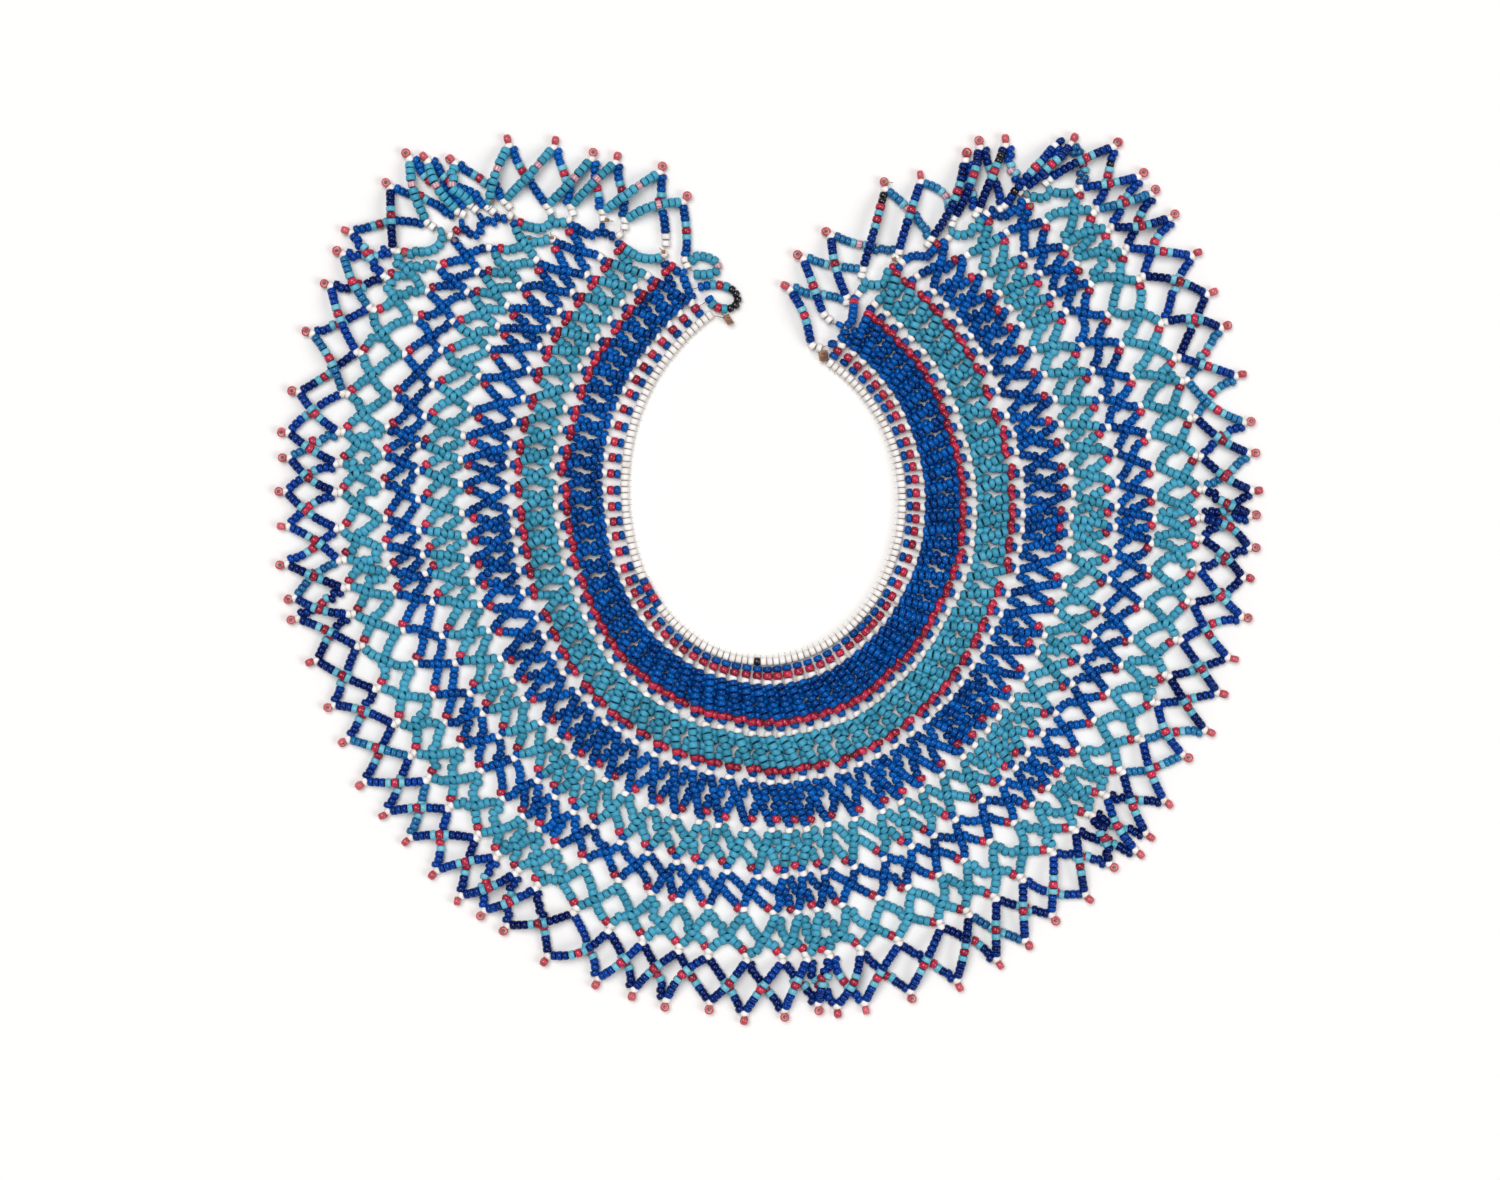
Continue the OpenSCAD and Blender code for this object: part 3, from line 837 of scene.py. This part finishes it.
def threadPiece(name, runs, radii=()):
    # three-sided tubes along runs of points (mm), all runs of a group equally long, ends closed
    points, faces, start = [], [], 0
    radii = list(radii) + [threadLook["radius"]] * (len(runs) - len(radii))
    for run, radius in zip(runs, radii):
        run = np.asarray(run, dtype=float)
        number, steps = run.shape[:2]
        ahead = np.gradient(run, axis=1)
        ahead /= np.maximum(np.linalg.norm(ahead, axis=2), 1e-9)[..., None]
        level = sideways(ahead)
        upward = np.cross(level, ahead)
        ring = np.stack([run + radius * (math.cos(a) * level + math.sin(a) * upward)
                         for a in (0, 2 * math.pi / 3, 4 * math.pi / 3)], axis=2)
        points.append(ring.reshape(-1, 3))
        for j in range(number):
            base = start + j * steps * 3
            end = base + (steps - 1) * 3
            faces.append((base, base + 1, base + 2))
            for here in range(base, end, 3):
                for c, d in ((0, 1), (1, 2), (2, 0)):
                    faces.append((here + d, here + c, here + 3 + c, here + 3 + d))
            faces.append((end + 2, end + 1, end))
        start += number * steps * 3
    points = np.concatenate(points)
    points[:, 2] = np.maximum(points[:, 2], aboveFloor["thread"])
    return newPiece(name, points, faces, [threadFinish])


# A knot is thread wound round itself, in two coils; of each, its lean and how wide it is
winding = {"sides": 7, "threadRadius": 0.13, "coilRadius": 0.4, "pitch": 0.22, "steps": 12,
           "coils": ((0, 1.0), (1.2, 0.8))}


def turning(angle):
    # the matrix of a turn seen from above
    cos, sin = math.cos(angle), math.sin(angle)
    return np.array([[cos, -sin, 0], [sin, cos, 0], [0, 0, 1]])


def woundKnot(name, middle, size, turns, tilt):
    # a circle is screwed into a coil, twice, the second across the first
    coils = []
    for lean, wide in winding["coils"]:
        bpy.ops.mesh.primitive_circle_add(vertices=winding["sides"], radius=winding["threadRadius"],
                                          rotation=(math.pi / 2, 0, 0))
        coil = bpy.context.object
        bpy.ops.object.transform_apply(location=False, rotation=True, scale=False)
        editAll()
        start = (winding["coilRadius"] * wide, 0, -winding["pitch"] / 2 * turns)
        bpy.ops.transform.translate(value=start)
        bpy.ops.object.mode_set(mode="OBJECT")
        screw = coil.modifiers.new("wind", "SCREW")
        screw.steps = screw.render_steps = winding["steps"]
        screw.iterations, screw.screw_offset = turns, winding["pitch"]
        bpy.ops.object.modifier_apply(modifier="wind")
        editAll()
        bpy.ops.mesh.fill_holes(sides=winding["sides"])
        bpy.ops.mesh.select_all(action="SELECT")
        bpy.ops.mesh.normals_make_consistent(inside=False)
        bpy.ops.transform.rotate(value=lean, orient_axis="X", center_override=(0, 0, 0))
        bpy.ops.object.mode_set(mode="OBJECT")
        coils.append(coil)
    for coil in coils:
        coil.select_set(True)
    bpy.ops.object.join()
    knot = bpy.context.object
    knot.name = knot.data.name = name
    shape = np.array([v.co for v in knot.data.vertices])
    shape = shape[:, [0, 2, 1]] @ turning(tilt).T
    shape -= (shape.max(axis=0) + shape.min(axis=0)) / 2
    shape *= np.array(size) / (shape.max(axis=0) - shape.min(axis=0))
    knot.data.vertices.foreach_set("co", ((shape + middle) * mm).ravel())
    editAll()
    bpy.ops.mesh.normals_make_consistent(inside=False)
    bpy.ops.object.mode_set(mode="OBJECT")
    bpy.ops.object.shade_smooth()
    knot.data.materials.append(threadFinish)
    knot.select_set(False)
    return knot


slotNames = {"neck_string": "white_glass", "stem_row": "red_glass", "blue_row_1": "royal_blue_glass",
             "blue_row_2": "royal_blue_glass", "blue_row_3": "royal_blue_glass",
             "turquoise_row_1": "turquoise_glass", "turquoise_row_2": "turquoise_glass",
             "turquoise_row_3": "turquoise_glass", "outer_fringe": "navy_glass",
             "right_end_fringe": "navy_glass", "left_end_fringe": "navy_glass",
             "upper_loop": "turquoise_glass", "lower_loop": "black_glass"}
nodes = np.array(beads["node"])
# Bare thread between beads and knots sags a little aside; the thread that sews the neck string
# loops over it between its beads and shows as a small bristle, here how far out and up it goes
tie = {"aside": 0.4, "up": 0.3}
bristle = {"radius": 0.07, "uneven": 0.12,
           "course": ((1.1, 0.5), (0.6, 1.25), (-0.8, 1.2), (-1.9, 0.5), (-2.4, -0.4))}
ties = [("neck_string", place[neckIds[0]], knotMiddles["right_knot"]),
        ("neck_string", place[neckIds[-1]], knotMiddles["left_knot"]),
        ("lower_loop", place[loopEnds["lower_loop"][-1]], knotMiddles["left_knot"])]
ties += [(beads["node"][i], place[i], place[j]) for i, j in sewn]
nearLoops = place[np.isin(nodes, ["stem_row", "left_end_fringe", "blue_row_1"])]
for node in loops:
    for i in (loopEnds[node][0], loopEnds[node][-1]):
        ties.append((node, place[i], nearLoops[np.linalg.norm(nearLoops - place[i], axis=1).argmin()]))
for node, slot in slotNames.items():
    ids = np.flatnonzero(nodes == node)
    piece = joinBeads(node + "_beads", ids, sorted(set(letters[ids])))
    runs, radii = [place[links[np.isin(links[:, 1], ids)]]], [threadLook["radius"]]
    if node == "neck_string":
        between = (place[ids[1:]] + place[ids[:-1]]) / 2
        along = place[ids[1:]] - place[ids[:-1]]
        away = np.stack([-along[:, 1], along[:, 0]], axis=1)
        away /= np.linalg.norm(along[:, :2], axis=1)[:, None]
        over = np.stack([between + np.append(away * out, np.full((len(away), 1), up), axis=1)
                         for out, up in bristle["course"]], axis=1)
        runs.append(over + random.normal(0, bristle["uneven"], over.shape))
        radii.append(bristle["radius"])
    for tied, start, stop in ties:
        if tied == node:
            sag = [random.normal(0, tie["aside"]), random.normal(0, tie["aside"]), tie["up"]]
            runs.append(np.array([[start, (np.array(start) + stop) / 2 + sag, stop]]))
    turned = np.intersect1d(ids, picotIds)
    if len(turned):
        half = axes[turned] * (length[turned] / 2)[:, None]
        runs.append(np.stack([place[turned] - half, place[turned] + half], axis=1))
    strands = threadPiece(node + "_thread", runs, radii)
    for part in (piece, strands):
        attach(part, "root")
        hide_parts(node)
    print(piece.name, len(ids), "beads", len(ids) * len(faces) * 2, "triangles")

# Small knots where the maker joined new thread, with two cut ends that stand out. They lie between
# the places given here and the nearest bead, and above it.
smallKnots = {
    "size": (1.7, 1.3, 1.4), "turns": 4, "towardsBead": 0.6, "above": 1.2,
    "tail": 2.2, "tailPoints": 5, "tailBend": 0.5, "tailDroop": 0.25, "tailsApart": (1.5, 4)}
smallKnotPlaces = {
    "left_end_fringe": [(-127.7, 112.7), (-110.2, 118.3), (-96.2, 130.5), (-84.0, 119.0),
                        (-76.6, 119.3), (-54.9, 124.5), (-37.1, 114.8)],
    "right_end_fringe": [(41.7, 137.9), (89.3, 133.6), (91.6, 130.2), (43.0, 110.5)]}
for node, knotPlaces in smallKnotPlaces.items():
    knot = woundKnot(node + "_knots", (0, 0, 0), smallKnots["size"], smallKnots["turns"], 0)
    shape = np.array([v.co for v in knot.data.vertices])
    turned, tails = [], []
    for x, y in knotPlaces:
        angle = random.uniform(0, 2 * math.pi)
        near = place[np.linalg.norm(place[:, :2] - (x, y), axis=1).argmin()]
        middle = np.array([x, y, 0]) * (1 - smallKnots["towardsBead"]) * mm \
            + np.array([near[0], near[1], 0]) * smallKnots["towardsBead"] * mm
        middle[2] = (near[2] + smallKnots["above"]) * mm
        turned.append(shape @ turning(angle).T + middle)
        for way in (angle, angle + random.uniform(*smallKnots["tailsApart"])):
            steps = np.linspace(0, smallKnots["tail"], smallKnots["tailPoints"])
            sweep = random.uniform(-smallKnots["tailBend"], smallKnots["tailBend"]) * steps ** 2 / 2
            tails.append(np.stack([middle[0] / mm + steps * math.cos(way) - sweep * math.sin(way),
                                   middle[1] / mm + steps * math.sin(way) + sweep * math.cos(way),
                                   middle[2] / mm - steps * smallKnots["tailDroop"]], axis=1))
    sides = [list(p.vertices) for p in knot.data.polygons]
    copies = [[i + n * len(shape) for i in side] for n in range(len(turned)) for side in sides]
    mesh = bpy.data.meshes.new(knot.name)
    mesh.from_pydata(np.concatenate(turned).tolist(), [], copies)
    mesh.materials.append(threadFinish)
    mesh.polygons.foreach_set("use_smooth", np.ones(len(copies), dtype=bool))
    knot.data = mesh
    ends = threadPiece(node + "_thread_ends", [np.array(tails)])
    for part in (knot, ends):
        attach(part, "root")
        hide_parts(node)

# The knots that close the neck string, as large as their nodes
endKnots = {"left_knot": {"turns": 7, "tilt": 0.5}, "right_knot": {"turns": 8, "tilt": 0.1}}
for node, made in endKnots.items():
    bottom, top = np.array(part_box(node)) / mm
    knot = woundKnot(node + "_winding", (bottom + top) / 2, top - bottom, made["turns"], made["tilt"])
    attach(knot, "root")
    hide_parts(node)
print("knots wound")

# Floor, light and camera: white paper, a soft light overhead and a weaker one from the right
studio = {
    "floor": 8, "paper": "#f4f2f0", "paperRoughness": 0.9, "sky": "#ffffff", "surroundings": 0.26,
    # name, where it shines from, strength, how wide it looks in degrees
    "lights": [("overhead", (-0.25, 0.3, 1.1), 2.2, 42), ("side", (0.8, -0.3, 0.8), 1.0, 32)]}
bpy.ops.mesh.primitive_plane_add(size=studio["floor"], location=(0, 0, 0))
floor = bpy.context.object
floor.name = "floor"
paper, tree, shader = newMaterial("whitePaper")
feed(tree, shader, {"Base Color": studio["paper"], "Roughness": studio["paperRoughness"]})
floor.data.materials.append(paper)

for name, spot, strength, wide in studio["lights"]:
    bpy.ops.object.light_add(type="SUN", location=spot)
    lamp = bpy.context.object
    lamp.name = name
    lamp.data.energy = strength
    lamp.data.angle = math.radians(wide)
    lamp.rotation_euler = (math.atan2(math.hypot(spot[0], spot[1]), spot[2]), 0,
                           math.atan2(spot[1], spot[0]) + math.pi / 2)
bpy.context.scene.view_settings.view_transform = "Standard"
world = bpy.data.worlds.new("studio")
bpy.context.scene.world = world
world.use_nodes = True
feed(world.node_tree, world.node_tree.nodes["Background"], {
    "Color": studio["sky"], "Strength": studio["surroundings"]})

camera = {"aim": (-7.0, -4.2), "frameWidth": 525, "lens": 100, "sensor": 36, "sight": 20}
bpy.ops.object.camera_add(location=(camera["aim"][0] * mm, camera["aim"][1] * mm,
                                    camera["frameWidth"] * mm * camera["lens"] / camera["sensor"]))
view = bpy.context.object
view.data.lens = camera["lens"]
view.data.sensor_width = camera["sensor"]
view.data.sensor_fit = "HORIZONTAL"
view.data.clip_end = camera["sight"]
bpy.context.scene.camera = view
print("camera and light set")
